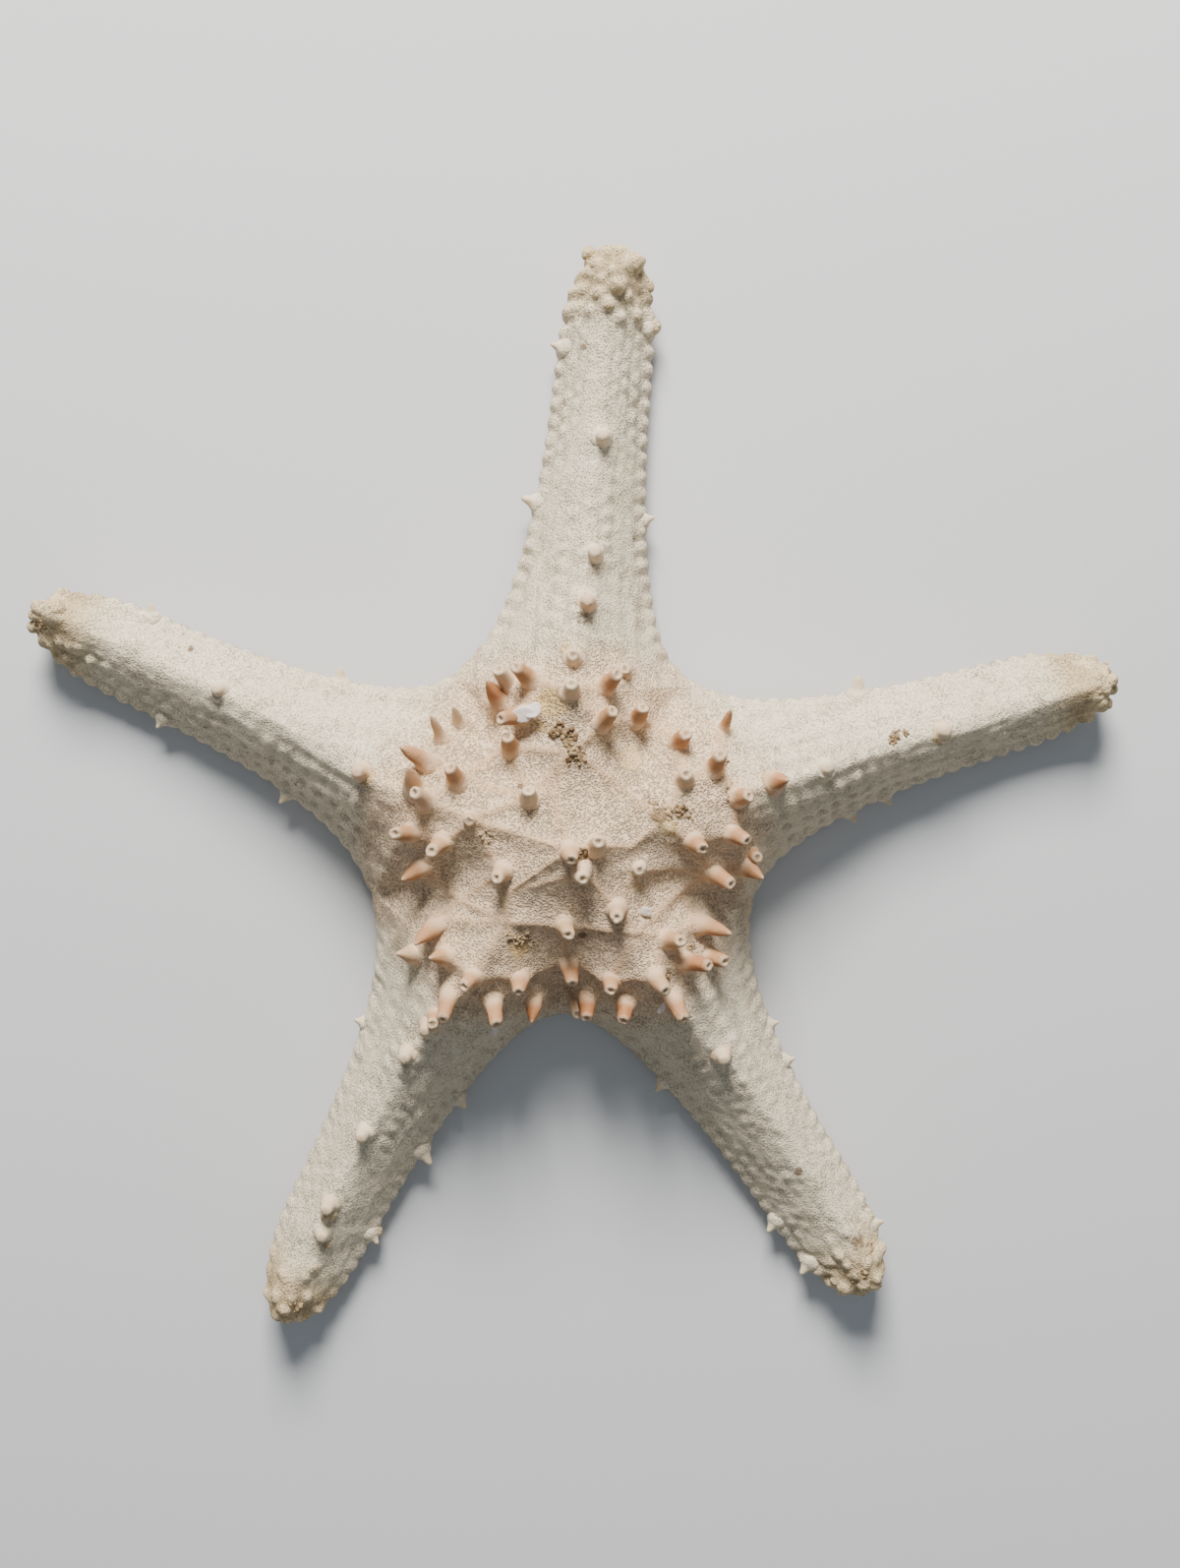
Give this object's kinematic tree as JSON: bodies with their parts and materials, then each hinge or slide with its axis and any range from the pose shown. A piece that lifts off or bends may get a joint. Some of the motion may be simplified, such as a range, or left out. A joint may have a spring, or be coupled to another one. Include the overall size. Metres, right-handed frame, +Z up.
{
  "type": "dried starfish",
  "caption": "Dried, bleached starfish with long tapering arms, scalloped edges, short blunt spines on a domed disc and grooves underneath.",
  "frame": {"origin": "centre of the starfish's box, on the surface that its underside rests on", "axes": "+Z up, away from the underside; +Y roughly along the arm that points up in the picture; +X to that arm's right"},
  "size_m": [0.2424, 0.2483, 0.0429],
  "materials": {
    "skeleton": "bleached chalky skin over limy plates, pebbled and pitted, cream with peach to rust spines and brown stains"
  },
  "bodies": {
    "root": {"starfish": "skeleton"}
  },
  "joints": []
}
